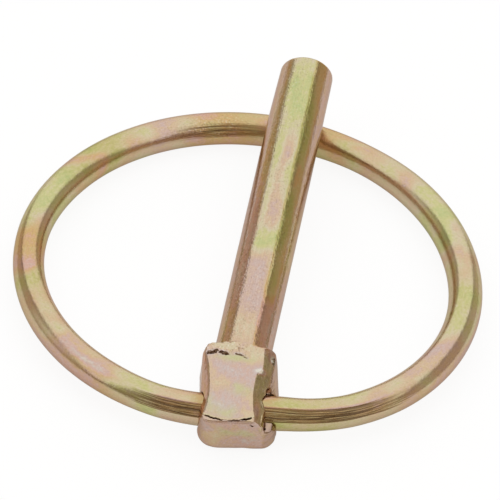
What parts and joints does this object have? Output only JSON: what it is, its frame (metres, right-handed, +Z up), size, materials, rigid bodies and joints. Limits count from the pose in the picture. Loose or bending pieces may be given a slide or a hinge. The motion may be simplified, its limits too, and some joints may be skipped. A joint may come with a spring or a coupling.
{
  "type": "lynch pin",
  "caption": "Round locking pin with a flattened head and an oblong cross hole, and a hinged wire ring that closes over the tip.",
  "frame": {"origin": "on the table, under the middle of the whole part's box as it lies at rest", "axes": "+Y from the head to the tip, +X along the head's cross hole towards the side with the hollowed edge, +Z up from the table"},
  "size_m": [0.0498, 0.0517, 0.0098],
  "materials": {
    "pin": "bright yellow zinc plating with drawn grain and small marks",
    "ring": "bright yellow zinc plating with drawn scratches"
  },
  "bodies": {
    "pin": {"pin": "pin"},
    "ring": {"ring": "ring"}
  },
  "joints": [
    {"name": "ring_hinge", "type": "hinge", "parent": "pin", "child": "ring", "pos_m": [0, -0.02241, 0.00289], "axis": [-1, 0, 0], "range_deg": [0, 347.4]}
  ]
}
